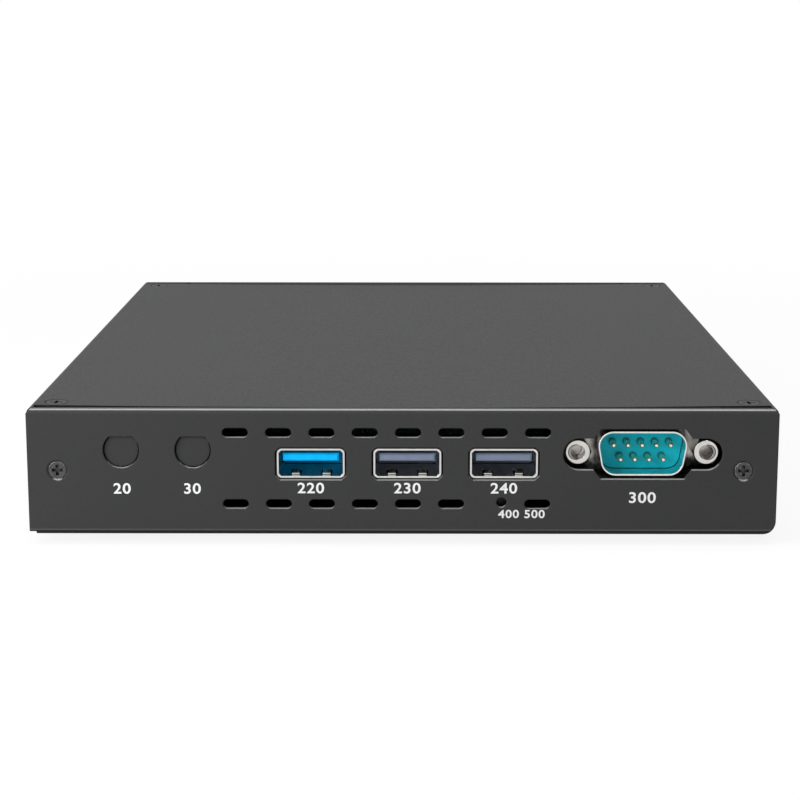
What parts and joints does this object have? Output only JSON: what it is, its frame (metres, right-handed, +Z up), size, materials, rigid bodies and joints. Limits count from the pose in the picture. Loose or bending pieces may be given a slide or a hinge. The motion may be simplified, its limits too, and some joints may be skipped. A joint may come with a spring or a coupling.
{
  "type": "fanless industrial computer",
  "caption": "Flat fanless computer for machine cabinets, in a case of folded black sheet steel, with sockets in its front and rear walls.",
  "frame": {"origin": "on the surface the feet rest on, under the middle of the case", "axes": "+Z up, front wall faces -Y, width along X"},
  "size_m": [0.146, 0.1788, 0.0272],
  "materials": {
    "case_paint": "fine matt powder coat",
    "screw_steel": "blackened steel",
    "zinc_steel": "zinc plated",
    "nickel": "bright nickel plate",
    "gold": "gold flash",
    "rubber_black": "matt",
    "board_green": "solder mask",
    "blue_plastic": "satin",
    "grey_plastic": "satin",
    "teal_plastic": "satin",
    "black_plastic": "matt",
    "chip_plastic": "matt",
    "light_plastic": "clear lens",
    "aluminium": "machined",
    "heat_pad": "soft",
    "heat_paste": "paste"
  },
  "bodies": {
    "chassis": {"base_chassis": "case_paint", "board_screws": "zinc_steel", "board_standoffs": "zinc_steel", "capacitors": "aluminium", "cell_holder": "black_plastic", "chokes": "chip_plastic", "coin_cell": "zinc_steel", "cover_screws": "screw_steel", "display_left_shell": "nickel", "display_left_tongue": "black_plastic", "display_right_shell": "nickel", "display_right_tongue": "black_plastic", "drive_card": "board_green", "drive_post": "zinc_steel", "drive_screw": "zinc_steel", "drive_socket": "black_plastic", "heat_spreader": "aluminium", "lan_contacts": "gold", "lan_left_housing": "black_plastic", "lan_left_shield": "nickel", "lan_lights": "light_plastic", "lan_right_housing": "black_plastic", "lan_right_shield": "nickel", "mainboard": "board_green", "memory_module": "board_green", "memory_socket": "black_plastic", "mounting_inserts": "zinc_steel", "power_switch": "chip_plastic", "processor": "nickel", "reset_switch": "black_plastic", "rubber_feet": "rubber_black", "serial_brackets": "zinc_steel", "serial_insert": "teal_plastic", "serial_jacks": "nickel", "serial_pins": "gold", "serial_shell": "nickel", "soldered_chips": "chip_plastic", "spreader_screws": "zinc_steel", "supply_jack": "black_plastic", "supply_pin": "nickel", "thermal_pad": "heat_pad", "thermal_paste": "heat_paste", "top_cover": "case_paint", "usb_left_contacts": "gold", "usb_left_shell": "nickel", "usb_left_tongue": "blue_plastic", "usb_middle_contacts": "gold", "usb_middle_shell": "nickel", "usb_middle_tongue": "grey_plastic", "usb_right_contacts": "gold", "usb_right_shell": "nickel", "usb_right_tongue": "grey_plastic", "wall_screws": "screw_steel"},
    "power_button": {"power_button": "black_plastic"},
    "reset_plunger": {"reset_plunger": "grey_plastic"}
  },
  "joints": [
    {"name": "power_press", "type": "slide", "parent": "chassis", "child": "power_button", "axis": [0, -1, 0], "range_m": [0, 0.0006], "stiffness_N_per_m": 1200, "springref_m": -0.0006},
    {"name": "reset_press", "type": "slide", "parent": "chassis", "child": "reset_plunger", "axis": [0, 1, 0], "range_m": [0, 0.00025], "stiffness_N_per_m": 3000, "springref_m": -0.0002}
  ]
}
